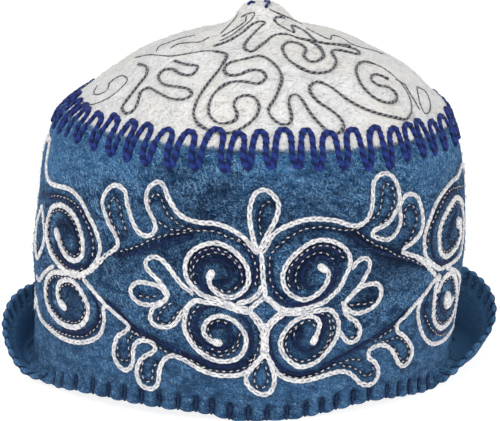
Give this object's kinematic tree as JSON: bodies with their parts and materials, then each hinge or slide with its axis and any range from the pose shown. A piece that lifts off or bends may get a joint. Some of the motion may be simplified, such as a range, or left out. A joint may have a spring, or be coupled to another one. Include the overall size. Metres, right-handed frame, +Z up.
{
  "type": "embroidered felt cap",
  "caption": "Domed felt cap with a small top knob, a blue side wall turned up round the sides and back, and stitched ornament.",
  "frame": {"origin": "middle of the cap's footprint, on the surface that it rests on", "axes": "+Z up, the front faces -Y, +X to the viewer's right of the front"},
  "size_m": [0.2286, 0.2224, 0.1682],
  "materials": {
    "blue_felt": "matt wet-felted wool with mottled blue fibres",
    "white_felt": "matt wet-felted white wool",
    "navy_yarn": "plied wool yarn",
    "white_yarn": "plied wool yarn in chain stitch",
    "charcoal_yarn": "twisted two-tone cord",
    "blue_yarn": "soft plied yarn in blanket stitch"
  },
  "bodies": {
    "root": {"wall": "blue_felt", "crown": "white_felt"}
  },
  "joints": []
}
